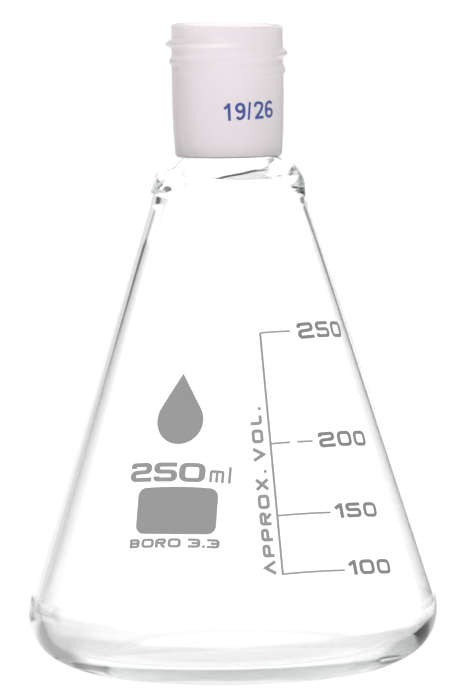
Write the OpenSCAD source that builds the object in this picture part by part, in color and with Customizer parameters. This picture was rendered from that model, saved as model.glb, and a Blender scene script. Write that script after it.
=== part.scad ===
// Conical laboratory flask, 250 ml, with a ground 19/26 socket and a 25 mm screw thread on the neck.
// Origin: centre of the foot on the table. +Z runs up the axis, the prints face -Y.

/* [Body] */
// widest diameter, across the heel
body_d = 85; // [70:0.5:100]
// half angle of the cone, degrees
cone_angle = 17.38; // [12:0.02:22]
// outside radius of the heel
heel_r = 10.5; // [6:0.1:14]
// radius of the flatter arc under the heel
belly_r = 24.5; // [20:0.1:40]
// diameter where the flat foot ends
foot_d = 49.6; // [40:0.1:60]
// diameter of the pushed-up centre of the base
dimple_d = 42; // [30:0.5:48]
// rise of the pushed-up centre
dimple_h = 1.1; // [0.4:0.1:2]
// wall thickness on the cone
wall = 1.4; // [1.2:0.1:2.4]
// glass thickness above the foot ring
base_wall = 2.8; // [2:0.1:4]

/* [Shoulder] */
// height where the cone starts to fill out towards the shoulder
flare_z = 97.4; // [95:0.1:99]
// radius of the domed shoulder in profile
dome_r = 8.5; // [7:0.1:10]
// distance of the centre of that arc from the axis
dome_x = 7.55; // [6.5:0.05:8.5]
// height of the centre of that arc
dome_z = 99.1; // [98:0.1:100.5]
// radius of the bend inside the shoulder, where the glass is thicker
in_bend_r = 2.75; // [2:0.05:4]

/* [Neck] */
// overall height
overall_h = 134.2; // [132:0.1:138]
// outside diameter of the neck below the thread
neck_d = 23.1; // [22.6:0.1:24]
// lower and upper end of the plain land that a clamp grips, under the thread
land_low_z = 118.7; // [118.6:0.1:119.4]
land_top_z = 122.2; // [121:0.1:122.4]
// outside diameter of the clear collar under the ground part
collar_d = 21.8; // [21:0.1:22.4]
// mouth diameter of the ground socket
socket_d = 18.8; // [18.6:0.1:19]
// length of the ground socket
socket_len = 26; // [24:0.5:27]
// height where the ground surface ends outside
ground_z = 107.2; // [107:0.1:108]

/* [Thread] */
// outside diameter over the thread
thread_d = 25; // [24.4:0.1:25.2]
// rise per turn
pitch = 3.5; // [3:0.1:4]
// number of turns
turns = 2.3; // [1.5:0.1:2.6]
// height of the upper end of the thread
thread_top_z = 131.1; // [130:0.1:132.4]
// heading of the upper end, degrees from the front towards the right
thread_start = 30; // [0:1:359]

/* [Prints] */
// thickness of the fired enamel
enamel = 0.12; // [0.08:0.01:0.2]
// heading of the block with the capacity, degrees from the front
block_heading = -18.5; // [-40:0.5:0]
// heading of the volume scale block
scale_heading = 25; // [15:0.5:40]
// heading of the spine line
spine_heading = 15; // [8:0.5:20]

/* [Hidden] */
$fn = 96;
body_r = body_d / 2;
foot_r = foot_d / 2;
ca = cos(cone_angle);
sa = sin(cone_angle);
ta = tan(cone_angle);
// centre of the outer heel arc: touches the belly arc and fixes the cone line
heel_x = body_r - heel_r;
heel_z = belly_r - sqrt(pow(belly_r - heel_r, 2) - pow(heel_x - foot_r, 2));
// radius the cone line would have at the table
cone_r0 = heel_x + (heel_z * sa + heel_r) / ca;
// inner cone line and inner heel arc
inner_r0 = cone_r0 - wall / ca;
inner_heel_r = heel_r - wall;
// the cone runs tangent into the dome, and the dome ends at the collar, where the neck is sealed on
flare_dx = cone_r0 - ta * flare_z - dome_x;
flare_dz = flare_z - dome_z;
dome_a0 = atan2(flare_dz, flare_dx) + acos(dome_r / norm([flare_dx, flare_dz]));
collar_r = collar_d / 2;
dome_a1 = acos((collar_r - dome_x) / dome_r);
seal_z = dome_z + dome_r * sin(dome_a1);
neck_r = neck_d / 2;
// below the land the neck narrows slightly down to the collar
low_neck_r = neck_r - 0.15;
low_neck_z = ground_z + 5;
// inner shoulder bend, its slope and the lower end of the throat
in_bend_x = 11.4;
in_bend_z = 99.3;
in_bend_a0 = 18.5;
in_bend_a1 = 65;
in_slope_x = 9.4;
in_slope_z = in_bend_z + in_bend_r * sin(in_bend_a1) + (in_bend_x + in_bend_r * cos(in_bend_a1) - in_slope_x)
    / tan(in_bend_a1);
throat_z = seal_z - 1.6;
// ground socket, taper 1 in 10 on diameter
socket_r = socket_d / 2;
socket_low_r = socket_r - socket_len / 20;
socket_low_z = overall_h - socket_len;

function cone_r(z) = cone_r0 - ta * z;

// points along an arc in profile
function arc_pts(x, z, r, a0, a1, n) = [for (i = [0:n]) let (a = a0 + (a1 - a0) * i / n)
    [x + r * cos(a), z + r * sin(a)]];

// ---- profile helpers -----------------------------------------------------------------------------------

// pie slice of a true circle between two angles
module slice(x, z, r, a0, a1) {
    am = (a0 + a1) / 2;
    intersection() {
        translate([x, z]) circle(r);
        polygon([[x, z], [x + 2 * r * cos(a0), z + 2 * r * sin(a0)],
            [x + 2 * r * cos(am), z + 2 * r * sin(am)], [x + 2 * r * cos(a1), z + 2 * r * sin(a1)]]);
    }
}

// half outline of a bottle bottom: flat floor, belly arc, heel arc, cone line up to a given height
module bottle_half(floor_z, flat_r, big_r, small_x, small_z, small_r, r0, top_z) {
    a0 = atan2(small_z - floor_z - big_r, small_x - flat_r);
    tx = small_x + small_r * ca;
    tz = small_z + small_r * sa;
    polygon([[0, floor_z], [flat_r, floor_z], [flat_r, floor_z + big_r], [0, floor_z + big_r]]);
    slice(flat_r, floor_z + big_r, big_r, -100, a0);
    translate([small_x, small_z]) circle(small_r);
    polygon([[0, small_z], [small_x, small_z], [tx, tz], [r0 - ta * top_z, top_z], [0, top_z]]);
}

module outer_half() {
    bottle_half(0, foot_r, belly_r, heel_x, heel_z, heel_r, cone_r0, flare_z);
    // short flare and domed shoulder
    polygon(concat([[0, flare_z], [cone_r(flare_z), flare_z]],
        arc_pts(dome_x, dome_z, dome_r, dome_a0, dome_a1, 12), [[0, seal_z]]));
}

module inner_half() {
    flat_r = foot_r - 1;
    // the inner heel arc sits a little higher than the outer one and touches the inner cone line
    small_z = heel_z + 0.55;
    small_x = (inner_r0 * ca - inner_heel_r - sa * small_z) / ca;
    // belly radius that touches both the floor and the inner heel arc
    q = small_x - flat_r;
    p = small_z - base_wall;
    big_r = (q * q + p * p - inner_heel_r * inner_heel_r) / (2 * (p - inner_heel_r));
    bottle_half(base_wall, flat_r, big_r, small_x, small_z, inner_heel_r, inner_r0, flare_z);
    polygon(concat([[0, flare_z], [inner_r0 - ta * flare_z, flare_z]],
        arc_pts(in_bend_x, in_bend_z, in_bend_r, in_bend_a0, in_bend_a1, 8),
        [[in_slope_x, in_slope_z], [socket_low_r, throat_z], [socket_low_r, seal_z], [0, seal_z]]));
}

// radius of a ball that makes a shallow cap
function cap_ball(d, h) = (d * d / 4 + h * h) / (2 * h);

module flask_body() color([0.86, 0.92, 0.93, 0.35]) {
    ball = cap_ball(dimple_d, dimple_h);
    difference() {
        rotate_extrude() outer_half();
        difference() {
            rotate_extrude() inner_half();
            translate([0, 0, base_wall + 0.8 - ball]) sphere(ball);
        }
        translate([0, 0, dimple_h - ball]) sphere(ball);
    }
}

// ---- neck ----------------------------------------------------------------------------------------------

// helical ridge with ends that fade into the neck
module thread_ridge() {
    steps = 56;
    n = round(turns * steps);
    half_w = 1.15;
    crest = 0.35;
    root = neck_r - 0.25;
    function grow(i) = min(1, i / (0.14 * steps), (n - i) / (0.3 * steps));
    pts = [for (i = [0:n]) let (a = -90 + thread_start - 360 * i / steps,
        z = thread_top_z - pitch * i / steps, g = grow(i),
        r = root + (thread_d / 2 - root) * (0.3 + 0.7 * g), w = half_w * (0.45 + 0.55 * g))
        each [[root * cos(a), root * sin(a), z + w], [r * cos(a), r * sin(a), z + w * crest],
            [r * cos(a), r * sin(a), z - w * crest], [root * cos(a), root * sin(a), z - w]]];
    faces = concat([[3, 2, 1, 0]], [for (i = [0:n - 1], k = [0:3])
        [4 * i + k, 4 * i + (k + 1) % 4, 4 * i + 4 + (k + 1) % 4, 4 * i + 4 + k]],
        [[4 * n, 4 * n + 1, 4 * n + 2, 4 * n + 3]]);
    polyhedron(pts, faces, convexity = 6);
}

module neck_half() {
    lip = 0.7;
    difference() {
        union() {
            polygon([[socket_low_r - 0.6, seal_z], [collar_r, seal_z],
                [collar_r + 0.1, ground_z], [low_neck_r, low_neck_z], [neck_r, land_low_z],
                [neck_r, land_top_z], [neck_r - 0.05, overall_h - lip], [neck_r - lip, overall_h - lip],
                [neck_r - 0.05 - lip, overall_h], [socket_low_r - 0.6, overall_h]]);
            translate([neck_r - 0.05 - lip, overall_h - lip]) circle(lip);
        }
        polygon([[0, seal_z - 1], [socket_low_r, seal_z - 1], [socket_low_r, socket_low_z],
            [socket_r, overall_h], [socket_r, overall_h + 1], [0, overall_h + 1]]);
    }
}

module socket_neck() color([0.93, 0.92, 0.93, 0.8]) union() {
    rotate_extrude() neck_half();
    thread_ridge();
}

// ---- fired prints --------------------------------------------------------------------------------------

// skin of enamel lying on the cone between two heights
module cone_skin(z0, z1) {
    difference() {
        translate([0, 0, z0]) cylinder(h = z1 - z0, r1 = cone_r(z0) + enamel / ca,
            r2 = cone_r(z1) + enamel / ca);
        translate([0, 0, z0]) cylinder(h = z1 - z0, r1 = cone_r(z0), r2 = cone_r(z1));
    }
}

// carries a flat drawing to the cone. A decal is laid out flat: u to the right, v up the glass,
// its origin at a heading and a height; the sheet is then wrapped as a real decal would be
module on_cone(heading, z0, u, v, turn = 0) {
    s0 = (cone_r0 / ta - z0) / ca;
    s = sqrt(u * u + (s0 - v) * (s0 - v));
    psi = atan2(u, s0 - v);
    z = cone_r0 / ta - s * ca;
    rotate([0, 0, heading + psi / sa]) translate([0, -cone_r(z), z]) rotate([90 - cone_angle, 0, 0])
        rotate([0, 0, turn - psi]) translate([0, 0, -2]) linear_extrude(3) children();
}

// straight pen stroke
module stroke(x0, y0, x1, y1, w) {
    l = sqrt(pow(x1 - x0, 2) + pow(y1 - y0, 2));
    translate([(x0 + x1) / 2, (y0 + y1) / 2]) rotate(atan2(y1 - y0, x1 - x0))
        square([l, w], center = true);
}

// block letters and digits in a w by h box, drawn with a pen: p wide uprights, q wide level strokes
module glyph(c, w, h, p, q) {
    l = p / 2;
    r = w - p / 2;
    b = q / 2;
    t = h - q / 2;
    m = h / 2;
    upper_left = c == "0" || c == "5" || c == "6" || c == "9" || c == "B" || c == "P" || c == "R" || c == "O"
        || c == "L";
    lower_left = c == "0" || c == "2" || c == "6" || c == "B" || c == "P" || c == "R" || c == "O" || c == "L";
    upper_right = c == "0" || c == "2" || c == "3" || c == "9" || c == "B" || c == "P" || c == "R"
        || c == "O";
    lower_right = c == "0" || c == "3" || c == "5" || c == "6" || c == "9" || c == "B" || c == "O";
    top = c == "0" || c == "2" || c == "3" || c == "5" || c == "6" || c == "9" || c == "B" || c == "P"
        || c == "R" || c == "O";
    middle = c == "2" || c == "3" || c == "5" || c == "6" || c == "9" || c == "B" || c == "P" || c == "R";
    bottom = c == "0" || c == "2" || c == "3" || c == "5" || c == "6" || c == "9" || c == "B" || c == "O"
        || c == "L";
    if (upper_left) translate([0, m - b]) square([p, m + b]);
    if (lower_left) square([p, m + b]);
    if (upper_right) translate([w - p, m - b]) square([p, m + b]);
    if (lower_right) translate([w - p, 0]) square([p, m + b]);
    if (top) translate([0, h - q]) square([w, q]);
    if (middle) translate([0, m - b]) square([w, q]);
    if (bottom) square([w, q]);
    if (c == "R") stroke(w * 0.45, m, w - p * 0.4, q * 0.2, p);
    if (c == "1") {
        translate([w - p, 0]) square([p, h]);
        stroke(w - p * 0.6, h - q * 0.7, q * 0.3, h * 0.72, q);
    }
    if (c == "A" || c == "V") translate([0, c == "A" ? 0 : h]) mirror([0, c == "A" ? 0 : 1]) {
        stroke(l, 0.1, w / 2, h - 0.1, p);
        stroke(r, 0.1, w / 2, h - 0.1, p);
    }
    if (c == "X") {
        stroke(l, 0.1, r, h - 0.1, p);
        stroke(l, h - 0.1, r, 0.1, p);
    }
    if (c == "/") stroke(q / 2, 0, w - q / 2, h, q);
    if (c == ".") square([w, w]);
    if (c == "l") square([p, h]);
    if (c == "m") {
        for (x = [0, (w - p) / 2, w - p]) translate([x, 0]) square([p, h]);
        translate([0, h - q]) square([w, q]);
    }
}

// writes a row of characters: [character, left edge, width, height], on a sheet turned by some degrees
module print_row(heading, z0, u0, v0, turn, chars, p, q) {
    for (k = chars) {
        cu = k[1] + k[2] / 2;
        on_cone(heading, z0, u0 + cu * cos(turn) - k[3] / 2 * sin(turn),
            v0 + cu * sin(turn) + k[3] / 2 * cos(turn), turn)
            translate([-k[2] / 2, -k[3] / 2]) glyph(k[0], k[2], k[3], p, q);
    }
}

grey = [0.58, 0.58, 0.58];

module writing_patch() color(grey) intersection() {
    cone_skin(28, 46);
    on_cone(block_heading, 40, -0.15, -3.5) union() {
        square([17.3, 6.2], center = true);
        square([14.1, 9.7], center = true);
        for (x = [-1, 1], y = [-1, 1]) translate([7.05 * x, 3.25 * y]) circle(1.6);
        square([15, 7.5], center = true);
    }
}

module drop_mark() color(grey) intersection() {
    cone_skin(46, 68);
    on_cone(block_heading, 40, -0.9, 15.3)
        polygon(concat([for (a = [150:12:390]) [5 * cos(a), 5 * sin(a)]], [[0, 9.7]]));
}

module capacity_print() color(grey) intersection() {
    cone_skin(38, 50);
    union() {
        print_row(block_heading, 40, -11.15, 2.5, 0,
            [["2", 0, 5, 3.95], ["5", 5.5, 5.2, 3.95], ["0", 11.1, 5.5, 3.95]], 1.15, 0.8);
        print_row(block_heading, 40, 6.35, 2.6, 0, [["m", 0, 3, 2.55], ["l", 3.85, 0.5, 3.4]], 0.5, 0.5);
    }
}

module glass_type_print() color(grey) intersection() {
    cone_skin(24, 36);
    print_row(block_heading, 40, -9.85, -11.35, 1,
        [["B", 0, 2.3, 1.9], ["O", 2.75, 2.8, 1.9], ["R", 5.85, 2.4, 1.9], ["O", 8.6, 2.8, 1.9],
        ["3", 12.9, 2.6, 1.9], [".", 15.9, 0.5, 0.5], ["3", 16.85, 2.6, 1.9]], 0.55, 0.42);
}

// level line on the scale sheet
module level_line(v, u0, u1) {
    on_cone(scale_heading, 50, (u0 + u1) / 2, v)
        square([u1 - u0, 0.3], center = true);
}

// distance along the cone between the two ends of the spine
spine_low_z = 23.8;
spine_high_z = 71.9;

module volume_scale() color(grey) intersection() {
    cone_skin(22, 74);
    union() {
        on_cone(spine_heading, (spine_low_z + spine_high_z) / 2, 0, 0)
            square([0.36, (spine_high_z - spine_low_z) / ca], center = true);
        level_line(23.0, -4.1, 2.4);
        level_line(-0.17, -5.5, -1.2);
        level_line(-0.15, 0.4, 4.0);
        level_line(-15.15, -6.35, 5.75);
        level_line(-27.25, -7.1, 7.2);
    }
}

module numeral_100() color(grey) intersection() {
    cone_skin(20, 32);
    print_row(scale_heading, 50, 8.4, -28.3, 2.6,
        [["1", 0, 2, 3.1], ["0", 2.8, 4.2, 3.1], ["0", 7.8, 4.2, 3.1]], 0.75, 0.55);
}

module numeral_150() color(grey) intersection() {
    cone_skin(32, 44);
    print_row(scale_heading, 50, 7.1, -16.4, 2.9,
        [["1", 0, 2, 3.1], ["5", 2.8, 4.2, 3.1], ["0", 7.8, 4.2, 3.1]], 0.75, 0.55);
}

module numeral_200() color(grey) intersection() {
    cone_skin(45, 60);
    print_row(scale_heading, 50, 5.6, -1.6, 4,
        [["2", 0, 4.2, 3.2], ["0", 5, 4.2, 3.2], ["0", 10, 4.2, 3.2]], 0.75, 0.55);
}

module numeral_250() color(grey) intersection() {
    cone_skin(65, 84);
    print_row(scale_heading, 50, 4.4, 21.25, 5.4,
        [["2", 0, 4.2, 3.4], ["5", 5, 4.2, 3.4], ["0", 10, 4.2, 3.4]], 0.75, 0.6);
}

module scale_caption() color(grey) intersection() {
    cone_skin(20, 66);
    print_row(spine_heading, 50, -1.35, -27.6, 90,
        [["A", 0, 3.2, 2.4], ["P", 3.75, 2.7, 2.4], ["P", 7.05, 2.7, 2.4], ["R", 10.35, 2.8, 2.4],
        ["O", 13.8, 3.0, 2.4], ["X", 17.5, 2.8, 2.4], [".", 21.3, 0.5, 0.5], ["V", 23.6, 3.1, 2.4],
        ["O", 27.5, 2.9, 2.4], ["L", 31.3, 2.0, 2.4], [".", 34.4, 0.5, 0.5]], 0.5, 0.45);
}

// blue joint size, printed straight on the ground neck: [character, distance round the neck, width]
module joint_size_print() color([0.2, 0.27, 0.52]) intersection() {
    difference() {
        translate([0, 0, low_neck_z])
            cylinder(h = land_low_z - low_neck_z, r1 = low_neck_r + enamel, r2 = neck_r + enamel);
        translate([0, 0, low_neck_z]) cylinder(h = land_low_z - low_neck_z, r1 = low_neck_r, r2 = neck_r);
    }
    for (k = [["1", 0.3, 1.2], ["9", 3.05, 2.1], ["/", 5.1, 1.1], ["2", 7.15, 2.2], ["6", 9.9, 2.2]])
        rotate([0, 0, k[1] / neck_r * 180 / PI]) translate([-k[2] / 2, -neck_r + 1, 114.6])
            rotate([90, 0, 0]) linear_extrude(3) glyph(k[0], k[2], 3.6, 0.5, 0.5);
}

flask_body();
socket_neck();
writing_patch();
drop_mark();
capacity_print();
glass_type_print();
volume_scale();
numeral_100();
numeral_150();
numeral_200();
numeral_250();
scale_caption();
joint_size_print();
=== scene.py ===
import math
import random

import bmesh
import bpy
from mathutils import Matrix, Vector


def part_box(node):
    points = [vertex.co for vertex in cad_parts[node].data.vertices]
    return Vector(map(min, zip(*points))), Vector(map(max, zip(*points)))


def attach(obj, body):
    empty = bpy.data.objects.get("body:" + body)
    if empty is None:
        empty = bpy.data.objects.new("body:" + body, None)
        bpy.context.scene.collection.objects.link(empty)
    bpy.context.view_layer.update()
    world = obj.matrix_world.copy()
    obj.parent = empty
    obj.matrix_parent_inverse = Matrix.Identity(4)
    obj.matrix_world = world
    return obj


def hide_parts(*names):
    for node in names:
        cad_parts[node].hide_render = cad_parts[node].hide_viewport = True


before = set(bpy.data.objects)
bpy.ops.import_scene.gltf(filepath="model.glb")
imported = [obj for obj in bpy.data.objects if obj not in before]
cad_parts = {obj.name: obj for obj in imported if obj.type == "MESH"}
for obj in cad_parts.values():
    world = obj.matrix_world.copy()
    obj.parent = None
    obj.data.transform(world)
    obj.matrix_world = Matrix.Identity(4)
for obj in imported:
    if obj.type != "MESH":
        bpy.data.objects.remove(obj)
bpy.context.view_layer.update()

mm = 0.001
fullTurn = 2 * math.pi

# sizes of the blown body in millimetres; the outside follows the CAD solids
flaskSizes = {
    "bodyRadius": 42.5,
    "coneAngle": 17.38,
    "coneTop": 95,
    "heelRadius": 10.5,
    "bellyRadius": 24.5,
    "footRadius": 24.8,
    "dimpleRadius": 21.0,
    "dimpleRise": 1.1,
    "dimpleEdge": 6.0,      # how softly the push-up runs into the foot
    "baseGlass": 2.8,
    "baseMound": 0.9,       # extra glass in the middle of the base
    "baseInset": 1,
    "heelLift": 0.7,        # the inside heel sits a little higher than the outside one
    "wall": 1.35,           # mean wall on the cone
    "wallDrift": 0.55,      # blown glass is never even: thicker on the left, thinner on the right
    # other waves of the wall: how many round the flask, depth, turn, twist per millimetre of height
    "wallLobes": [(2, 0.03, 0.8, 0.03), (3, 0.02, 0.0, 0.05)],
    "wallStart": (2.0, 12.0),       # heights where the uneven wall fades in and out
    "wallEnd": (101.5, 104.4),
    "flare": (97.4, 30),            # height and softness of the bend from cone to shoulder
    "flareEnd": (15.94, 100.44),
    "domeRadius": 8.5,              # domed shoulder: radius, centre and first angle of its arc in profile
    "domeX": 7.55,
    "domeZ": 99.1,
    "domeStart": 9.5,
    "innerConeTop": 86,
    "innerFlare": (89, 60),
    # inside of the shoulder in profile: radius, height and softness of each bend
    "innerShoulder": [(14.8, 97.0, 9), (14.2, 99.6, 7), (12.3, 102.2, 2.5), (9.4, 104.9, 1.2)],
    "throatEdge": (105.9, 0.5),
    "sealHeight": 106.9,
    "lean": 0.43,                   # the neck was sealed on a little to the right of the body's axis
    "leanHeights": (98.0, 101.5),
    "turnSteps": 192,
}

# sizes of the pressed neck in millimetres
neckSizes = {
    "groundHeight": 107.2,
    "groundStep": 0.12,             # the ground part stands this far over the clear collar
    "collarRadius": 10.9,
    "lowBend": (11.4, 112.2, 6.0),  # radius, height and softness of the bends under the thread
    "highBend": (11.55, 118.7, 8.0),
    "threadFoot": 120.0,
    "threadZone": (119.0, 0.9),     # from this height up to so far under the rim
    "taper": 0.05,
    "lipDepth": 1.2,
    "socketRadius": 9.4,
    "socketLowRadius": 8.1,
    "socketLength": 26.0,
}
neckRadius = neckSizes["highBend"][0]
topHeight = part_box("socket_neck")[1][2] / mm
coneTan = math.tan(math.radians(flaskSizes["coneAngle"]))
coneSin = math.sin(math.radians(flaskSizes["coneAngle"]))
coneCos = math.cos(math.radians(flaskSizes["coneAngle"]))
heelX = flaskSizes["bodyRadius"] - flaskSizes["heelRadius"]
heelZ = flaskSizes["bellyRadius"] - math.sqrt(
    (flaskSizes["bellyRadius"] - flaskSizes["heelRadius"]) ** 2 - (heelX - flaskSizes["footRadius"]) ** 2)
coneFoot = heelX + (heelZ * coneSin + flaskSizes["heelRadius"]) / coneCos   # cone radius at table level


def coneRadius(z):
    return coneFoot - coneTan * z


def smoothStep(low, high, x):
    t = min(1.0, max(0.0, (x - low) / (high - low)))
    return t * t * (3 - 2 * t)


def hexColour(code, alpha=1.0):
    out = []
    for k in (0, 2, 4):
        v = int(code[k:k + 2], 16) / 255
        out.append(v / 12.92 if v <= 0.04045 else ((v + 0.055) / 1.055) ** 2.4)
    return (*out, alpha)


def addNode(tree, kind, settings=None, links=None, values=None):
    # settings are node properties, values are set on sockets, links feed sockets from another node's output
    node = tree.nodes.new(kind)
    for key, value in (settings or {}).items():
        setattr(node, key, value)
    for key, value in (values or {}).items():
        node.inputs[key].default_value = value
    for key, source in (links or {}).items():
        tree.links.new(source, node.inputs[key])
    return node


def newMaterial(name):
    material = bpy.data.materials.new(name)
    material.use_nodes = True
    material.node_tree.nodes.clear()
    return material, material.node_tree


def patternScale(size):
    # noise cells per metre for a pattern whose cells are this many millimetres wide
    return 1 / (size * mm)


def shadowSoft(tree, shader):
    # shadow rays pass straight through thin clear glass, so the flask throws no hard shadow
    path = addNode(tree, "ShaderNodeLightPath")
    clear = addNode(tree, "ShaderNodeBsdfTransparent", values={"Color": (0.97, 0.975, 0.975, 1)})
    return addNode(tree, "ShaderNodeMixShader", links={
        0: path.outputs["Is Shadow Ray"], 1: shader.outputs[0], 2: clear.outputs[0]})


glassLook = {
    "tint": "FEFEFE",
    "ior": 1.473,
    "absorbColour": "CDD0D0",
    "absorbPerMetre": 24.0,     # long paths along the wall go grey at the outline
    "ripple": 0.02,
    "rippleWidth": 11.11,       # millimetres
    "rippleDepth": 0.4,
}


def blownBorosilicate():
    # blown borosilicate glass, fire polished: clear, bright, with very faint ripples that bend reflections
    material, tree = newMaterial("blownBorosilicateGlass")
    place = addNode(tree, "ShaderNodeTexCoord")
    ripple = addNode(tree, "ShaderNodeTexNoise", links={"Vector": place.outputs["Object"]}, values={
        "Scale": patternScale(glassLook["rippleWidth"]), "Detail": 1.5, "Roughness": 0.4})
    bump = addNode(tree, "ShaderNodeBump", links={"Height": ripple.outputs["Fac"]}, values={
        "Strength": glassLook["ripple"], "Distance": glassLook["rippleDepth"] * mm})
    shader = addNode(tree, "ShaderNodeBsdfPrincipled", links={"Normal": bump.outputs["Normal"]}, values={
        "Base Color": hexColour(glassLook["tint"]), "Roughness": 0.0, "IOR": glassLook["ior"],
        "Transmission Weight": 1.0})
    absorb = addNode(tree, "ShaderNodeVolumeAbsorption", values={
        "Color": hexColour(glassLook["absorbColour"]), "Density": glassLook["absorbPerMetre"]})
    addNode(tree, "ShaderNodeOutputMaterial", links={
        "Surface": shadowSoft(tree, shader).outputs[0], "Volume": absorb.outputs[0]})
    return material


groundLook = {
    "tint": "ECE8EA",
    "through": 0.80,            # the rest of the light is scattered back by the ground skin
    "roughness": 0.37,
    "roughnessSpread": 0.05,
    "absorbColour": "A89CA4",
    "absorbPerMetre": 40.0,     # the long way through the rounded sides goes mauve grey
    "grit": 0.12,               # grinding grit in millimetres, drawn coarser than the real one so it shows
    "gritStrength": 0.25,
    "gritDepth": 0.04,
    "flowWidth": 2.381,         # upright flow marks in millimetres
    "flowLength": 71.43,
    "flowStrength": 0.35,
    "flowDepth": 0.25,
}


def groundBorosilicate():
    # borosilicate glass ground with fine grit: milky, satin, lets light through but no image
    look = groundLook
    material, tree = newMaterial("groundBorosilicateGlass")
    place = addNode(tree, "ShaderNodeTexCoord")
    grit = addNode(tree, "ShaderNodeTexNoise", links={"Vector": place.outputs["Object"]}, values={
        "Scale": patternScale(look["grit"]), "Detail": 2.0})
    # the pressing left faint upright flow marks under the grinding
    across, along = patternScale(look["flowWidth"]), patternScale(look["flowLength"])
    squeeze = addNode(tree, "ShaderNodeMapping", links={"Vector": place.outputs["Object"]}, values={
        "Scale": (across, across, along)})
    flow = addNode(tree, "ShaderNodeTexNoise", links={"Vector": squeeze.outputs["Vector"]}, values={
        "Scale": 1.0, "Detail": 2.0})
    fine = addNode(tree, "ShaderNodeBump", links={"Height": grit.outputs["Fac"]}, values={
        "Strength": look["gritStrength"], "Distance": look["gritDepth"] * mm})
    marks = addNode(tree, "ShaderNodeBump", values={
        "Strength": look["flowStrength"], "Distance": look["flowDepth"] * mm},
        links={"Height": flow.outputs["Fac"], "Normal": fine.outputs["Normal"]})
    milk = addNode(tree, "ShaderNodeMapRange", links={"Value": flow.outputs["Fac"]}, values={
        "From Min": 0.3, "From Max": 0.7, "To Min": look["roughness"] - look["roughnessSpread"],
        "To Max": look["roughness"] + look["roughnessSpread"]})
    through = addNode(tree, "ShaderNodeBsdfPrincipled", values={
        "Base Color": hexColour(look["tint"]), "IOR": glassLook["ior"],
        "Transmission Weight": look["through"]},
        links={"Normal": marks.outputs["Normal"], "Roughness": milk.outputs[0]})
    absorb = addNode(tree, "ShaderNodeVolumeAbsorption", values={
        "Color": hexColour(look["absorbColour"]), "Density": look["absorbPerMetre"]})
    addNode(tree, "ShaderNodeOutputMaterial", links={
        "Surface": shadowSoft(tree, through).outputs[0], "Volume": absorb.outputs[0]})
    return material


enamelLook = {
    "roughness": 0.42,
    "ior": 1.5,
    "blotch": 1.111,        # uneven ink film, in millimetres
    "grain": 0.15,
    "grainDepth": 0.02,
}


def firedEnamel(name, colour, darker):
    # screen printed glass enamel, fired on: opaque, satin, with a faintly uneven ink film
    material, tree = newMaterial(name)
    place = addNode(tree, "ShaderNodeTexCoord")
    film = addNode(tree, "ShaderNodeTexNoise", links={"Vector": place.outputs["Object"]}, values={
        "Scale": patternScale(enamelLook["blotch"]), "Detail": 3.0, "Roughness": 0.6})
    # sockets 6 and 7 of a Mix node hold its two colours, and output 2 gives the mixed one
    tone = addNode(tree, "ShaderNodeMix", settings={"data_type": "RGBA"}, links={0: film.outputs["Fac"]},
                   values={6: hexColour(darker), 7: hexColour(colour)})
    grain = addNode(tree, "ShaderNodeBump", links={"Height": film.outputs["Fac"]}, values={
        "Strength": enamelLook["grain"], "Distance": enamelLook["grainDepth"] * mm})
    shader = addNode(tree, "ShaderNodeBsdfPrincipled", values={
        "Roughness": enamelLook["roughness"], "IOR": enamelLook["ior"]},
        links={"Base Color": tone.outputs[2], "Normal": grain.outputs["Normal"]})
    addNode(tree, "ShaderNodeOutputMaterial", links={"Surface": shader.outputs[0]})
    return material


clearGlass = blownBorosilicate()
groundGlass = groundBorosilicate()
greyEnamel = firedEnamel("greyFiredEnamel", "8D8D8D", "858585")
denseEnamel = firedEnamel("denseGreyFiredEnamel", "7A7A7A", "727272")     # a thicker pass of the same ink
blueEnamel = firedEnamel("blueFiredEnamel", "3B4C92", "33448A")
print("materials ready")


def arc(x, z, r, start, end, count):
    turns = [math.radians(start + (end - start) * i / count) for i in range(count + 1)]
    return [(x + r * math.cos(turn), z + r * math.sin(turn)) for turn in turns]


def line(a, b, count):
    return [(a[0] + (b[0] - a[0]) * i / count, a[1] + (b[1] - a[1]) * i / count) for i in range(count + 1)]


def rounded(corners, count=8):
    # polyline with a fillet of the given radius at each inner corner
    out = [corners[0][:2]]
    for a, b, c in zip(corners, corners[1:], corners[2:]):
        p, q, s = Vector(a[:2]), Vector(b[:2]), Vector(c[:2])
        back, on = (p - q).normalized(), (s - q).normalized()
        angle = back.angle(on)
        r = b[2] if len(b) > 2 else 0
        if r <= 0 or angle > 3.13:      # nearly straight: nothing to round
            out.append(tuple(q))
            continue
        reach = min(r / math.tan(angle / 2), 0.48 * (p - q).length, 0.48 * (s - q).length)
        r = reach * math.tan(angle / 2)
        middle = q + (back + on).normalized() * (r / math.sin(angle / 2))
        a0 = q + back * reach - middle
        a1 = q + on * reach - middle
        sweep = a0.angle_signed(a1)
        for i in range(count + 1):
            out.append(tuple(middle + Matrix.Rotation(-sweep * i / count, 2) @ a0))
    out.append(corners[-1][:2])
    return out


def dropRepeats(path, gap=0.004):
    out = [path[0]]
    for p in path[1:]:
        if math.dist(p, out[-1]) > gap:
            out.append(p)
    return out


def bottleFoot(floorZ, flatR, smallX, smallZ, smallR):
    # from the flat foot through the belly's big arc into the heel's small one, up to where the cone begins
    q, p = smallX - flatR, smallZ - floorZ
    bigR = (q * q + p * p - smallR * smallR) / (2 * (p - smallR))
    turn = math.degrees(math.atan2(smallZ - floorZ - bigR, smallX - flatR))
    return (arc(flatR, floorZ + bigR, bigR, -90, turn, 18)
            + arc(smallX, smallZ, smallR, turn, flaskSizes["coneAngle"], 28))


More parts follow.
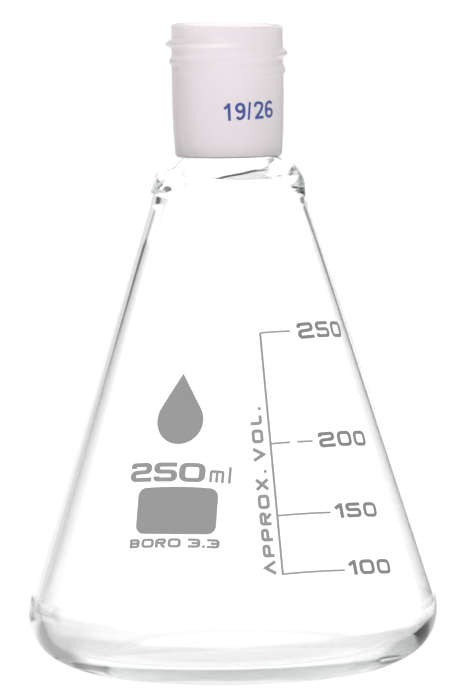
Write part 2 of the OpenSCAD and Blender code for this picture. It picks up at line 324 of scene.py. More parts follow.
def outerBodyPath():
    s = flaskSizes
    dimple, rise = s["dimpleRadius"], s["dimpleRise"]
    ball = (dimple ** 2 + rise ** 2) / (2 * rise)
    path = [(r, rise - (ball - math.sqrt(ball * ball - r * r))) for r in
            [0.01] + [dimple * i / 12 for i in range(1, 12)]]
    path += rounded([path[-1], (dimple, 0.0, s["dimpleEdge"]), (s["footRadius"], 0.0)], 6)[1:]
    path += bottleFoot(0.0, s["footRadius"], heelX, heelZ, s["heelRadius"])
    coneEnd = (coneRadius(s["coneTop"]), s["coneTop"])
    flareZ, flareRadius = s["flare"]
    path += line(path[-1], coneEnd, 36)[1:]
    path += rounded([coneEnd, (coneRadius(flareZ), flareZ, flareRadius), s["flareEnd"]], 12)[1:]
    domeEnd = math.degrees(math.acos((neckSizes["collarRadius"] - s["domeX"]) / s["domeRadius"]))
    path += arc(s["domeX"], s["domeZ"], s["domeRadius"], s["domeStart"], domeEnd, 26)
    return dropRepeats(path)


def innerBodyPath():
    s = flaskSizes
    innerFoot = coneFoot - s["wall"] / coneCos
    smallR = s["heelRadius"] - s["wall"]
    smallZ = heelZ + s["heelLift"]
    smallX = (innerFoot * coneCos - smallR - coneSin * smallZ) / coneCos
    flatR = s["footRadius"] - s["baseInset"]
    path = []
    for i in range(14):
        mound = s["baseMound"] * (1 - (i / 14) ** 2) ** 2
        path.append((max(0.01, flatR * i / 14), s["baseGlass"] + mound))
    path += bottleFoot(s["baseGlass"], flatR, smallX, smallZ, smallR)
    coneEnd = (innerFoot - coneTan * s["innerConeTop"], s["innerConeTop"])
    flareZ, flareRadius = s["innerFlare"]
    edgeZ, edgeRadius = s["throatEdge"]
    throat = neckSizes["socketLowRadius"]
    path += line(path[-1], coneEnd, 34)[1:]
    path += rounded([coneEnd, (innerFoot - coneTan * flareZ, flareZ, flareRadius), *s["innerShoulder"],
                     (throat, edgeZ, edgeRadius), (throat, s["sealHeight"])], 12)[1:]
    return dropRepeats(path)


# hand work at the flame: the seal between neck and body is never level or even
sealWork = {
    "outerHeight": 106.2, "outerSpread": 0.7, "outerDepth": 0.05,
    "innerHeight": 105.2, "innerSpread": 1.0, "innerTilt": 0.035, "innerWave": 0.18, "innerTurn": 2.6,
    # small folds of glass where the two gathers met: heading, height, size, depth
    "folds": [(-56.0, 105.6, 0.9, 0.5), (-84.0, 103.0, 0.8, 0.22)],
    "foldsFrom": 99,
    "waveCounts": (2, 3, 5, 7, 9, 13),
    "seed": 7,
}
sealRandom = random.Random(sealWork["seed"])
sealWaves = [(n, sealRandom.uniform(-1, 1) / n ** 0.7, sealRandom.uniform(0, fullTurn))
             for n in sealWork["waveCounts"]]


def sealWave(angle, shift):
    return sum(a * math.sin(n * angle + p + shift) for n, a, p in sealWaves) / 1.6


def wallShift(angle, z):
    # how far the inner skin is pushed outwards, millimetres: the cavity leans to the right
    s = flaskSizes
    grip = smoothStep(s["wallEnd"][1], s["wallEnd"][0], z) * smoothStep(*s["wallStart"], z)
    lobes = sum(depth * math.sin(n * angle + turn + z * twist) for n, depth, turn, twist in s["wallLobes"])
    return (s["wallDrift"] * math.cos(angle) + lobes) * grip


def outerPoint(r, z, angle):
    w = sealWork
    near = math.exp(-((z - w["outerHeight"]) / w["outerSpread"]) ** 2)
    bulge = w["outerDepth"] * near * sealWave(angle, 0.0)
    if z > w["foldsFrom"]:
        for heading, height, size, depth in w["folds"]:
            around = (math.degrees(angle) + 90 - heading + 180) % 360 - 180
            gap = math.hypot(math.radians(around) * r, z - height) / size
            bulge -= depth * math.exp(-gap * gap)
    return r + bulge, z


def innerPoint(r, z, angle):
    w = sealWork
    near = math.exp(-((z - w["innerHeight"]) / w["innerSpread"]) ** 2)
    rise = -near * w["innerTilt"] * r * math.cos(angle)
    drop = near * w["innerWave"] * sealWave(angle, w["innerTurn"])
    return r + wallShift(angle, z), z + rise + drop


def lathe(name, skins, materials, pick):
    # skins are (path, shaping rule, turned inside); every skin is one open tube of quads
    build = bmesh.new()
    steps = flaskSizes["turnSteps"]
    for path, shape, inward in skins:
        rings = []
        for r, z in path:
            circle = []
            for k in range(steps):
                angle = fullTurn * k / steps
                rr, zz = shape(r, z, angle)
                aside = flaskSizes["lean"] * smoothStep(*flaskSizes["leanHeights"], zz)
                x, y = rr * math.cos(angle) + aside, rr * math.sin(angle)
                circle.append(build.verts.new((x * mm, y * mm, zz * mm)))
            rings.append(circle)
        for low, high in zip(rings, rings[1:]):
            for k in range(steps):
                n = (k + 1) % steps
                quad = [low[k], low[n], high[n], high[k]]
                face = build.faces.new(quad[::-1] if inward else quad)
                face.smooth = True
                face.material_index = pick(face.calc_center_median())
        if path[0][0] < 0.05:       # a skin that starts on the axis is closed there
            build.faces.new(rings[0] if inward else rings[0][::-1]).smooth = True
    mesh = bpy.data.meshes.new(name)
    build.to_mesh(mesh)
    build.free()
    for material in materials:
        mesh.materials.append(material)
    piece = bpy.data.objects.new(name, mesh)
    bpy.context.collection.objects.link(piece)
    return piece


bodyGlass = lathe("flaskBody", [(outerBodyPath(), outerPoint, False), (innerBodyPath(), innerPoint, True)],
                  [clearGlass], lambda centre: 0)
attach(bodyGlass, "root")
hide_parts("flask_body")
print("body blown:", len(bodyGlass.data.vertices), "points")


threadSizes = {
    "top": 131.1,
    "topHeading": 30.0,      # degrees from the front towards the right
    "pitch": 3.5,
    "turns": 2.42,
    "height": 1.25,
    "halfWidth": 1.15,
    "crest": 0.8,            # below 1 the ridge has a broader back
    "fadeIn": 0.16,          # turns over which the ridge grows and runs out
    "fadeOut": 0.75,
    "wear": 0.6,             # the ridge is shallower lower down, between these turns
    "wearTurns": (0.3, 1.4),
    "tilt": 0.0114,          # the mould stood a little askew: the left side of the thread sits higher
    "rimTilt": 0.022,        # and the rim was ground off at a slant
    "rimFrom": 131.0,
}


def threadHeight(z, angle):
    t = threadSizes
    heading = math.degrees(angle) + 90          # 0 at the front (-Y), 90 at the right (+X)
    z += t["tilt"] * neckRadius * math.cos(angle)
    turnsDown = ((t["topHeading"] - heading) % 360) / 360
    best = 0.0
    while turnsDown < t["turns"]:
        fadeIn = smoothStep(0, t["fadeIn"], turnsDown)
        fadeOut = smoothStep(t["turns"], t["turns"] - t["fadeOut"], turnsDown)
        strength = fadeIn * fadeOut * (1 - t["wear"] * smoothStep(*t["wearTurns"], turnsDown))
        gap = abs(z - (t["top"] - t["pitch"] * turnsDown)) / t["halfWidth"]
        if gap < 1:
            best = max(best, strength * (0.5 + 0.5 * math.cos(math.pi * gap)) ** t["crest"])
        turnsDown += 1
    return best * t["height"]


def neckPath():
    n = neckSizes
    sealZ, groundZ, collar = flaskSizes["sealHeight"], n["groundHeight"], n["collarRadius"]
    outside = rounded([(collar, sealZ), (collar + 0.02, groundZ - 0.1, 0.1),
                       (collar + n["groundStep"], groundZ, 0.08), n["lowBend"],
                       n["highBend"], (neckRadius, n["threadFoot"])], 6)
    lipRadius, lipZ = neckRadius - n["taper"], topHeight - n["lipDepth"]
    outside += line((neckRadius, n["threadFoot"]), (lipRadius, lipZ), 100)[1:]
    socketTop = (n["socketRadius"] - 0.03, lipZ)
    lip = rounded([(lipRadius, lipZ), (lipRadius, topHeight, 0.75),
                   (n["socketRadius"] + 0.2, topHeight, 0.5), socketTop], 8)[1:]
    lowZ, lowRadius = topHeight - n["socketLength"], n["socketLowRadius"]
    bore = line(socketTop, (lowRadius + 0.05, lowZ + 1), 40)[1:]
    bore += rounded([bore[-1], (lowRadius, lowZ, 0.6), (lowRadius, sealZ)], 6)[1:]
    return dropRepeats(outside + lip + bore)


def neckPoint(r, z, angle):
    threadLow, underRim = neckSizes["threadZone"]
    if r > neckSizes["lowBend"][0] and threadLow < z < topHeight - underRim:
        r += threadHeight(z, angle)
    if z < neckSizes["groundHeight"] - 0.1:         # the lowest edge follows the seal
        r, z = outerPoint(r, z, angle) if r > 10 else innerPoint(r, z, angle)
    # the rim was ground off at a slant; it never rises above the stated height
    slant = threadSizes["rimTilt"] * neckRadius * (1 + math.cos(angle))
    return r, z - slant * smoothStep(threadSizes["rimFrom"], topHeight, z)


neckGlass = lathe("socketNeck", [(neckPath(), neckPoint, False)], [groundGlass, clearGlass],
                  lambda centre: 0 if centre.z > neckSizes["groundHeight"] * mm - 0.00002 else 1)
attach(neckGlass, "root")
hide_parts("socket_neck")
print("neck pressed:", len(neckGlass.data.vertices), "points")


# millimetres: how deep a print sits in the glass, how far it stands proud, the length of its facets
printFilm = {"sunk": 0.03, "proud": 0.05, "grain": 0.55, "cornerSteps": 5, "mitreLimit": 0.35}
blockPlace = {"heading": -18.5, "height": 40.0}
scalePlace = {"heading": 25.0, "height": 50.0, "spineHeading": 15.0}


def coneSheet(heading, z0):
    # a decal sheet laid flat, u to the right and v up, wrapped on the cone round its own middle
    slant0 = (coneFoot / coneTan - z0) / coneCos

    def place(u, v, h):
        slant = math.hypot(u, slant0 - v)
        psi = math.atan2(u, slant0 - v)
        phi = math.radians(heading) + psi / coneSin
        z = coneFoot / coneTan - slant * coneCos + h * coneSin
        r = slant * coneSin + h * coneCos
        return Vector((r * math.sin(phi) * mm, -r * math.cos(phi) * mm, z * mm))
    return place


def neckSheet(height):
    # the same on the slightly tapering neck, starting at its middle line
    lowR, lowZ = neckSizes["lowBend"][:2]
    highR, highZ = neckSizes["highBend"][:2]

    def place(u, v, h):
        z = height + v
        r = lowR + (highR - lowR) * (z - lowZ) / (highZ - lowZ)
        phi = u / r
        x = (r + h) * math.sin(phi) + flaskSizes["lean"]
        return Vector((x * mm, -(r + h) * math.cos(phi) * mm, z * mm))
    return place


blockSheet = coneSheet(blockPlace["heading"], blockPlace["height"])
scaleSheet = coneSheet(scalePlace["heading"], scalePlace["height"])
spineSheet = coneSheet(scalePlace["spineHeading"], scalePlace["height"])


def turned(place, u0, v0, degrees):
    # the same sheet with its start moved to (u0, v0) and its lines turned
    c, s = math.cos(math.radians(degrees)), math.sin(math.radians(degrees))
    return lambda u, v, h: place(u0 + u * c - v * s, v0 + u * s + v * c, h)


def slab(build, place, grid, closed=False):
    # grid rows run along the stroke, each row goes across it
    layers = []
    for h in (-printFilm["sunk"], printFilm["proud"]):
        layers.append([[build.verts.new(place(u, v, h)) for u, v in row] for row in grid])
    low, high = layers
    rows, cols = len(grid), len(grid[0])
    spans = rows if closed else rows - 1
    for i in range(spans):
        n = (i + 1) % rows
        for j in range(cols - 1):
            build.faces.new((high[i][j], high[n][j], high[n][j + 1], high[i][j + 1]))
            build.faces.new((low[i][j + 1], low[n][j + 1], low[n][j], low[i][j]))
        build.faces.new((low[i][0], low[n][0], high[n][0], high[i][0]))
        build.faces.new((high[i][-1], high[n][-1], low[n][-1], low[i][-1]))
    if not closed:
        for i, flip in ((0, False), (rows - 1, True)):
            for j in range(cols - 1):
                quad = (low[i][j], high[i][j], high[i][j + 1], low[i][j + 1])
                build.faces.new(quad[::-1] if flip else quad)


def softCorners(points, corner, closed):
    # the pen's line with each corner turned into a short curve
    count, steps = len(points), printFilm["cornerSteps"]
    out = []
    for i in range(count):
        p = Vector(points[i])
        if not closed and i in (0, count - 1):
            out.append(tuple(p))
            continue
        a, b = Vector(points[i - 1]), Vector(points[(i + 1) % count])
        back, on = a - p, b - p
        reach = min(corner, 0.49 * back.length, 0.49 * on.length)
        if reach < 0.02 or back.angle(on) > 3.1:        # sharp by wish, or nearly straight
            out.append(tuple(p))
            continue
        start, end = p + back.normalized() * reach, p + on.normalized() * reach
        for k in range(steps + 1):
            t = k / steps
            out.append(tuple(start * (1 - t) ** 2 + p * 2 * t * (1 - t) + end * t * t))
    return out


def penRows(points, wide, level, corner, closed=False):
    # rows of (left rail, right rail) for a pen that is wide on uprights and level on flat strokes
    dense = softCorners(points, corner, closed)
    path = [dense[0]]
    for q in dense[1:] + ([dense[0]] if closed else []):
        parts = max(1, math.ceil(math.dist(path[-1], q) / printFilm["grain"]))
        path += line(path[-1], q, parts)[1:]
    if closed:
        path.pop()
    rows = []
    total = len(path)
    for i in range(total):
        here = Vector(path[i])
        headings = []
        if closed or i > 0:
            headings.append(here - Vector(path[i - 1]))
        if closed or i < total - 1:
            headings.append(Vector(path[(i + 1) % total]) - here)
        headings = [d.normalized() for d in headings]
        along = sum(headings, Vector((0, 0))).normalized()
        spread = 1 / max(printFilm["mitreLimit"], along.dot(headings[0]))       # mitre at sharp corners
        nx, ny = -along.y * wide / 2 * spread, along.x * level / 2 * spread
        x, y = path[i]
        rows.append([(x + nx, y + ny), (x - nx, y - ny)])
    return rows


def glyphStrokes(sign, w, h, p, q):
    # block lettering in a w by h cell; p and q are the pen's width on uprights and on level strokes
    l, r, b, t, m = p / 2, w - p / 2, q / 2, h - q / 2, h / 2
    upper, lower = m + q * 0.1, m - q * 0.1
    bowl = [([(l, b), (r, b), (r, t), (l, t)], True)]
    strokes = {
        "0": bowl,
        "O": bowl,
        "1": [([(r, 0), (r, h)], False), ([(r - p / 2, h * 0.86), (p * 0.1, h * 0.66)], False)],
        "2": [([(l, h * 0.70), (l, t), (r, t), (r, upper), (l, lower), (l, b), (w, b)], False)],
        "3": [([(0, t), (r, t), (r, b), (0, b)], False), ([(w * 0.3, m), (r - p / 2, m)], False)],
        "5": [([(w * 0.97, t), (l, t), (l, upper), (r, upper), (r, b), (l, b), (l, h * 0.27)], False)],
        "A": [([(l, 0), (w / 2, t), (r, 0)], False)],
        "B": [([(l, 0), (l, h)], False), ([(p, b), (r, b), (r, t), (p, t)], False),
              ([(p, m), (w - p, m)], False)],
        "L": [([(l, h), (l, b), (w, b)], False)],
        "P": [([(l, 0), (l, t), (r, t), (r, m - q * 0.3), (p, m - q * 0.3)], False)],
        "R": [([(l, 0), (l, t), (r, t), (r, m), (p, m)], False),
              ([(w * 0.52, m - q / 2), (r, 0)], False)],
        "V": [([(l, h), (w / 2, b), (r, h)], False)],
        "X": [([(l, 0), (r, h)], False), ([(l, h), (w / 2 - p * 0.3, m + p * 0.3)], False),
              ([(w / 2 + p * 0.3, m - p * 0.3), (r, 0)], False)],
        "m": [([(l, 0), (l, t), (r, t), (r, 0)], False), ([(w / 2, 0), (w / 2, t - q / 2)], False)],
        "l": [([(l, 0), (l, h)], False)],
        "/": [([(l, 0), (r, h)], False)],
        ".": [([(w / 2, 0), (w / 2, w)], False)],
    }
    return strokes[sign]


def curve(points, parts=5):
    # smooth line through a few points
    out = [points[0]]
    for i in range(len(points) - 1):
        p0, p1 = points[max(0, i - 1)], points[i]
        p2, p3 = points[i + 1], points[min(len(points) - 1, i + 2)]
        for k in range(1, parts + 1):
            t = k / parts
            spot = []
            for n in (0, 1):
                bend = 2 * p0[n] - 5 * p1[n] + 4 * p2[n] - p3[n]
                twist = 3 * p1[n] - p0[n] - 3 * p2[n] + p3[n]
                spot.append(0.5 * (2 * p1[n] + (p2[n] - p0[n]) * t + bend * t * t + twist * t ** 3))
            out.append(tuple(spot))
    return out


def ovalRing(x, y, rx, ry, count=28):
    turns = [fullTurn * i / count for i in range(count)]
    return [(x + rx * math.cos(turn), y + ry * math.sin(turn)) for turn in turns]


def roundStrokes(sign, w, h, p):
    # plain sans figures with round bowls
    l, r, b, t = p / 2, w - p / 2, p / 2, h - p / 2
    ry = h * 0.3 - p / 2
    if sign == "1":
        flag = curve([(r, h - p * 0.3), (r - w * 0.28, h * 0.82), (p * 0.1, h * 0.7)])
        return [([(r, 0), (r, h)], False), (flag, False)]
    if sign == "9":
        tail = curve([(r, h - p / 2 - ry), (r, h * 0.46), (r - w * 0.1, h * 0.2), (w * 0.42, b),
                      (l, h * 0.19)], 6)
        return [(ovalRing(w / 2, t - ry, w / 2 - p / 2, ry), True), (tail, False)]
    if sign == "6":
        tail = curve([(l, p / 2 + ry), (l, h * 0.54), (l + w * 0.1, h * 0.8), (w * 0.58, t),
                      (r, h * 0.81)], 6)
        return [(ovalRing(w / 2, b + ry, w / 2 - p / 2, ry), True), (tail, False)]
    if sign == "2":
        body = curve([(l, h * 0.7), (l + w * 0.1, h * 0.88), (w * 0.5, t), (r - w * 0.06, h * 0.86),
                      (r, h * 0.7), (w * 0.66, h * 0.42), (l + w * 0.06, b)], 6)
        return [(body, False), ([(l - p * 0.1, b), (w, b)], False)]
    return glyphStrokes(sign, w, h, p, p)


def writeRow(build, place, text, pens):
    # text is a list of (sign, left edge, width, height); pens are upright width, level width, corner reach
    wide, level, corner = pens
    for sign, left, w, h in text:
        for points, closed in glyphStrokes(sign, w, h, wide, level):
            sharp = sign in "AVX/1."
            shifted = [(left + x, y) for x, y in points]
            stroke = w if sign == "." else wide
            rows = penRows(shifted, stroke, level, 0.0 if sharp else corner, closed)
            slab(build, place, rows, closed)


def printPiece(name, node, material, draw):
    build = bmesh.new()
    draw(build)
    bmesh.ops.recalc_face_normals(build, faces=build.faces)
    mesh = bpy.data.meshes.new(name)
    build.to_mesh(mesh)
    build.free()
    mesh.materials.append(material)
    piece = bpy.data.objects.new(name, mesh)
    bpy.context.collection.objects.link(piece)
    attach(piece, "root")
    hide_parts(node)


def columns(halfWide, lowEdge, highEdge, across, up):
    # a grid of columns between two edges, closer together towards the sides
    grid = []
    for i in range(across + 1):
        u = -halfWide + 2 * halfWide * (0.5 - 0.5 * math.cos(math.pi * i / across))
        low, high = lowEdge(u), highEdge(u)
        grid.append([(u, low + (high - low) * j / up) for j in range(up + 1)])
    return grid


# "at" is where a print starts on its sheet, right and up in millimetres, and its turn in degrees
patchPrint = {"at": (-0.15, -3.5, 0.6), "halfWide": 8.65, "halfHigh": 4.7, "corner": 1.7, "crown": 0.22}
dropPrint = {"at": (-0.9, 15.3, 0), "ball": 5.0, "tip": 9.7, "shoulder": 31.0}


def drawPatch(build):
    halfWide, halfHigh, corner = patchPrint["halfWide"], patchPrint["halfHigh"], patchPrint["corner"]

    def edge(u):
        over = abs(u) - (halfWide - corner)
        lift = patchPrint["crown"] * (1 - (u / halfWide) ** 2)
        if over <= 0:
            return halfHigh + lift
        return halfHigh + lift - corner + math.sqrt(max(0.0, corner ** 2 - over ** 2))
    slab(build, turned(blockSheet, *patchPrint["at"]), columns(halfWide, lambda u: -edge(u), edge, 40, 12))


def drawDrop(build):
    ball, tip, shoulder = dropPrint["ball"], dropPrint["tip"], math.radians(dropPrint["shoulder"])
    joinU, joinV = ball * math.cos(shoulder), ball * math.sin(shoulder)

    def low(u):
        return -math.sqrt(max(0.0, ball ** 2 - u * u))

    def high(u):
        if abs(u) > joinU:
            return math.sqrt(max(0.0, ball ** 2 - u * u))
        return tip - (tip - joinV) * abs(u) / joinU
    slab(build, turned(blockSheet, *dropPrint["at"]), columns(ball, low, high, 48, 14))


# signs: (sign, left edge, width, height) in millimetres; a pen: upright width, level width, corner reach
capacityPrint = {
    "figures": [("2", 0, 5, 3.95), ("5", 5.5, 5.2, 3.95), ("0", 11.1, 5.5, 3.95)],
    "figuresAt": (-11.15, 2.5, 0),
    "figuresPen": (1.32, 0.86, 1.1),
    "unit": [("m", 0, 3, 2.55), ("l", 3.85, 0.56, 3.4)],
    "unitAt": (6.35, 2.6, 0),
    "unitPen": (0.56, 0.56, 0.3),
}
glassTypePrint = {
    "signs": [("B", 0, 2.3, 1.9), ("O", 2.75, 2.8, 1.9), ("R", 5.85, 2.4, 1.9), ("O", 8.6, 2.8, 1.9),
              ("3", 12.9, 2.6, 1.9), (".", 15.9, 0.55, 0.55), ("3", 16.85, 2.6, 1.9)],
    "at": (-9.85, -11.35, 1),
    "pen": (0.62, 0.50, 0.5),
}
captionPrint = {
    "signs": [("A", 0, 3.2, 2.4), ("P", 3.75, 2.7, 2.4), ("P", 7.05, 2.7, 2.4), ("R", 10.35, 2.8, 2.4),
              ("O", 13.8, 3.0, 2.4), ("X", 17.5, 2.8, 2.4), (".", 21.3, 0.6, 0.6), ("V", 23.6, 3.1, 2.4),
              ("O", 27.5, 2.9, 2.4), ("L", 31.3, 2.0, 2.4), (".", 34.4, 0.6, 0.6)],
    "at": (-1.35, -27.6, 90),
    "pen": (0.70, 0.64, 0.5),
}


def drawCapacity(build):
    p = capacityPrint
    writeRow(build, turned(blockSheet, *p["figuresAt"]), p["figures"], p["figuresPen"])
    writeRow(build, turned(blockSheet, *p["unitAt"]), p["unit"], p["unitPen"])


def drawGlassType(build):
    p = glassTypePrint
    writeRow(build, turned(blockSheet, *p["at"]), p["signs"], p["pen"])


def drawCaption(build):
    p = captionPrint
    writeRow(build, turned(spineSheet, *p["at"]), p["signs"], p["pen"])


scalePrint = {
    "spine": (-27.45, 22.95),
    "spinePen": (0.46, 0.4),
    # height on the sheet, left end, right end; the 200 line is broken
    "levels": [(23.0, -4.1, 2.4), (-0.17, -5.5, -1.2), (-0.15, 0.4, 4.0), (-15.15, -6.35, 5.75),
               (-27.25, -7.1, 7.2)],
    "levelPen": 0.38,
}


def drawScale(build):
    spineLow, spineHigh = scalePrint["spine"]
    slab(build, spineSheet, penRows([(0, spineLow), (0, spineHigh)], *scalePrint["spinePen"], 0))
    pen = scalePrint["levelPen"]
    for v, start, end in scalePrint["levels"]:
        slab(build, scaleSheet, penRows([(start, v), (end, v)], pen, pen, 0))


numeralPrint = {
    # where each number starts and its turn, then its height
    "100": ((8.4, -28.3, 2.6), 3.1),
    "150": ((7.1, -16.4, 2.9), 3.1),
    "200": ((5.6, -1.6, 4.0), 3.2),
    "250": ((4.4, 21.25, 5.4), 3.4),
    "pen": (0.88, 0.70, 0.9),
    "narrow": 2.0,          # width of a 1
    "wide": 4.2,
    "gap": 0.8,
}


def numeralDrawing(signs):
    def draw(build):
        p = numeralPrint
        at, height = p[signs]
        left, row = 0.0, []
        for sign in signs:
            wide = p["narrow"] if sign == "1" else p["wide"]
            row.append((sign, left, wide, height))
            left += wide + p["gap"]
        writeRow(build, turned(scaleSheet, *at), row, p["pen"])
    return draw


jointSizePrint = {
    "height": 114.6,        # millimetres above the table
    "at": (-0.78, 0, 2.0),
    "signs": [("1", 0, 1.35), ("9", 2.3, 2.15), ("/", 4.85, 0.9), ("2", 6.35, 2.3), ("6", 9.1, 2.3)],
    "tall": 3.6,
    "pen": 0.58,
    "slashPen": 0.45,
}


def drawJointSize(build):
    p = jointSizePrint
    place = turned(neckSheet(p["height"]), *p["at"])
    for sign, left, w in p["signs"]:
        pen = p["slashPen"] if sign == "/" else p["pen"]
        for points, closed in roundStrokes(sign, w, p["tall"], pen):
            shifted = [(left + x, y) for x, y in points]
            slab(build, place, penRows(shifted, pen, pen, 0.0, closed), closed)


printPiece("writingPatch", "writing_patch", greyEnamel, drawPatch)
printPiece("dropMark", "drop_mark", greyEnamel, drawDrop)
printPiece("capacityPrint", "capacity_print", greyEnamel, drawCapacity)
printPiece("glassTypePrint", "glass_type_print", greyEnamel, drawGlassType)
printPiece("volumeScale", "volume_scale", greyEnamel, drawScale)
for number in ("100", "150", "200", "250"):
    printPiece("numeral" + number, "numeral_" + number, denseEnamel, numeralDrawing(number))
printPiece("scaleCaption", "scale_caption", greyEnamel, drawCaption)
printPiece("jointSizePrint", "joint_size_print", blueEnamel, drawJointSize)
print("prints fired on")


studio = {
    "panel": 1.30,          # brightness of the white panels round the flask
    "backdrop": 1.02,       # brightness of the plain white seen behind it
    # dark and grey cards between the panels: (compass degrees from straight behind, brightness)
    "cards": [(-180, 0.6), (-110, 0.6), (-72, 0.75), (-64, 0.75), (-58, 0.06), (-35, 0.06),
              (-31.5, 0.70), (-20, 0.70), (-15, 0.80), (-9, 1.0), (17, 1.0), (19, 0.85),
              (22, 0.15), (44, 0.2), (50, 0.75), (75, 0.75), (110, 0.6), (180, 0.6)],
    "ceiling": 12.0,        # degrees up: about here the white ceiling begins
    "ceilingFade": (-2, 3),
    # the table's glow near the flask in the same way, as painted light and shade: bright behind, painted
    # shade at both sides
    "table": [(-180, 0.9), (-120, 0.85), (-108, 0.34), (-68, 0.34), (-58, 0.66), (-44, 0.7), (-30, 1.0),
              (50, 1.0), (62, 0.9), (72, 0.42), (108, 0.42), (120, 0.85), (180, 0.9)],
    "tableRadius": 0.45,            # metres
    "shadeEdge": (0.10, 0.15),      # metres from the flask's axis: where the painted shade at the sides ends
    "paintedFootShadow": 0.55,              # painted shadow on the table under the flask
    "paintedFootShadowEdge": (0.024, 0.038),
    "bounces": 64,                  # light caught in the wall needs many
}


def setStops(node, marks):
    stops = node.color_ramp.elements
    stops[0].position, stops[1].position = 0.0, 1.0
    stops[0].color = (marks[0][1],) * 3 + (1,)
    stops[1].color = (marks[-1][1],) * 3 + (1,)
    for degrees, bright in marks[1:-1]:
        stop = stops.new((degrees + 180) / 360)
        stop.color = (bright, bright, bright, 1)


def compassTones(tree, split, marks):
    # grey tones by compass, from the split parts of a direction or of a place round the flask
    compass = addNode(tree, "ShaderNodeMath", settings={"operation": "ARCTAN2"},
                      links={0: split.outputs["X"], 1: split.outputs["Y"]})
    ramp = addNode(tree, "ShaderNodeMapRange", links={"Value": compass.outputs[0]}, values={
        "From Min": -math.pi, "From Max": math.pi, "To Min": 0.0, "To Max": 1.0})
    tones = addNode(tree, "ShaderNodeValToRGB", links={0: ramp.outputs[0]})
    setStops(tones, marks)
    return tones


def buildWorld():
    world = bpy.data.worlds.new("lightTent")
    bpy.context.scene.world = world
    world.use_nodes = True
    tree = world.node_tree
    tree.nodes.clear()
    place = addNode(tree, "ShaderNodeTexCoord")
    split = addNode(tree, "ShaderNodeSeparateXYZ", links={0: place.outputs["Generated"]})
    cards = compassTones(tree, split, studio["cards"])
    # the height of the unit vector stands for the elevation
    edge = [math.sin(math.radians(studio["ceiling"] + step)) for step in studio["ceilingFade"]]
    ceiling = addNode(tree, "ShaderNodeMapRange", settings={"interpolation_type": "SMOOTHSTEP"},
                      links={"Value": split.outputs["Z"]},
                      values={"From Min": edge[0], "From Max": edge[1], "To Min": 0.0, "To Max": 1.0})
    lifted = addNode(tree, "ShaderNodeMix", settings={"data_type": "RGBA"}, values={7: (1, 1, 1, 1)},
                     links={0: ceiling.outputs[0], 6: cards.outputs["Color"]})
    tent = addNode(tree, "ShaderNodeBackground", values={"Strength": studio["panel"]},
                   links={"Color": lifted.outputs[2]})
    plain = addNode(tree, "ShaderNodeBackground", values={
        "Color": (1, 1, 1, 1), "Strength": studio["backdrop"]})
    path = addNode(tree, "ShaderNodeLightPath")
    pick = addNode(tree, "ShaderNodeMixShader", links={
        0: path.outputs["Is Camera Ray"], 1: tent.outputs[0], 2: plain.outputs[0]})
    addNode(tree, "ShaderNodeOutputWorld", links={"Surface": pick.outputs[0]})


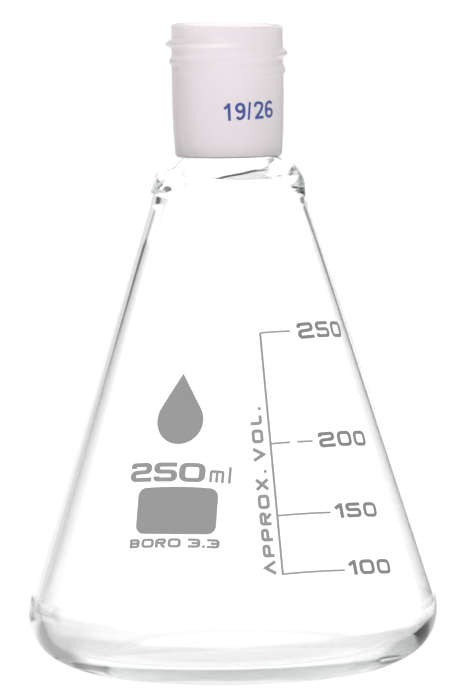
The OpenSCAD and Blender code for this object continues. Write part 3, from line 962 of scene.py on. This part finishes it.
def buildFloor():
    build = bmesh.new()
    bmesh.ops.create_circle(build, cap_ends=True, radius=studio["tableRadius"], segments=96)
    mesh = bpy.data.meshes.new("tableTop")
    build.to_mesh(mesh)
    build.free()
    # the table is an emission with no lamp on it: its glow carries painted light, painted shade at the
    # sides and a painted shadow under the flask
    material, tree = newMaterial("glowingTableWithPaintedShade")
    place = addNode(tree, "ShaderNodeTexCoord")
    split = addNode(tree, "ShaderNodeSeparateXYZ", links={0: place.outputs["Object"]})
    # painted light and shade by compass round the flask
    side = compassTones(tree, split, studio["table"])
    reach = addNode(tree, "ShaderNodeVectorMath", settings={"operation": "LENGTH"},
                    links={0: place.outputs["Object"]})
    # painted shadow on the table under the flask's foot
    inner, outer = studio["paintedFootShadowEdge"]
    under = addNode(tree, "ShaderNodeMapRange", settings={"interpolation_type": "SMOOTHSTEP"},
                    links={"Value": reach.outputs["Value"]},
                    values={"From Min": inner, "From Max": outer,
                            "To Min": studio["paintedFootShadow"], "To Max": 1.0})
    inner, outer = studio["shadeEdge"]
    far = addNode(tree, "ShaderNodeMapRange", settings={"interpolation_type": "SMOOTHSTEP"},
                  links={"Value": reach.outputs["Value"]},
                  values={"From Min": inner, "From Max": outer, "To Min": 0.0, "To Max": 1.0})
    lit = addNode(tree, "ShaderNodeMath", settings={"operation": "MAXIMUM"},
                  links={0: side.outputs[0], 1: far.outputs[0]})
    tone = addNode(tree, "ShaderNodeMath", settings={"operation": "MINIMUM"},
                   links={0: lit.outputs[0], 1: under.outputs[0]})
    glow = addNode(tree, "ShaderNodeMath", settings={"operation": "MULTIPLY"}, values={1: studio["panel"]},
                   links={0: tone.outputs[0]})
    # seen straight on, the table is plain white like the backdrop
    path = addNode(tree, "ShaderNodeLightPath")
    seen = addNode(tree, "ShaderNodeMath", settings={"operation": "MAXIMUM"},
                   links={0: path.outputs["Is Camera Ray"], 1: glow.outputs[0]})
    shader = addNode(tree, "ShaderNodeEmission", values={"Color": (1, 1, 1, 1)},
                     links={"Strength": seen.outputs[0]})
    addNode(tree, "ShaderNodeOutputMaterial", links={"Surface": shader.outputs[0]})
    mesh.materials.append(material)
    floor = bpy.data.objects.new("tableTop", mesh)
    bpy.context.collection.objects.link(floor)
    floor.location.z = -0.0001      # a hair under the foot


cameraPlace = {
    "place": (0, -1.76, 0.207),         # metres
    "aim": (0.00086, 0, 0.06654),
    "lens": 438.7,                      # millimetres on a 36 mm sensor
    "roll": -0.8,
}


def buildCamera():
    place, aim = Vector(cameraPlace["place"]), Vector(cameraPlace["aim"])
    data = bpy.data.cameras.new("studioCamera")
    data.sensor_width = 36
    data.lens = cameraPlace["lens"]
    data.clip_end = 20
    camera = bpy.data.objects.new("studioCamera", data)
    bpy.context.collection.objects.link(camera)
    look = (aim - place).to_track_quat("-Z", "Y").to_matrix().to_4x4()
    roll = Matrix.Rotation(math.radians(cameraPlace["roll"]), 4, "Z")
    camera.matrix_world = Matrix.Translation(place) @ look @ roll
    bpy.context.scene.camera = camera


def setView():
    view = bpy.context.scene.view_settings
    view.view_transform = "Standard"
    view.look = "None"
    cycles = bpy.context.scene.cycles
    cycles.use_denoising = True
    cycles.max_bounces = studio["bounces"]
    cycles.glossy_bounces = studio["bounces"]
    cycles.transmission_bounces = studio["bounces"]


buildWorld()
buildFloor()
buildCamera()
setView()
print("studio ready")
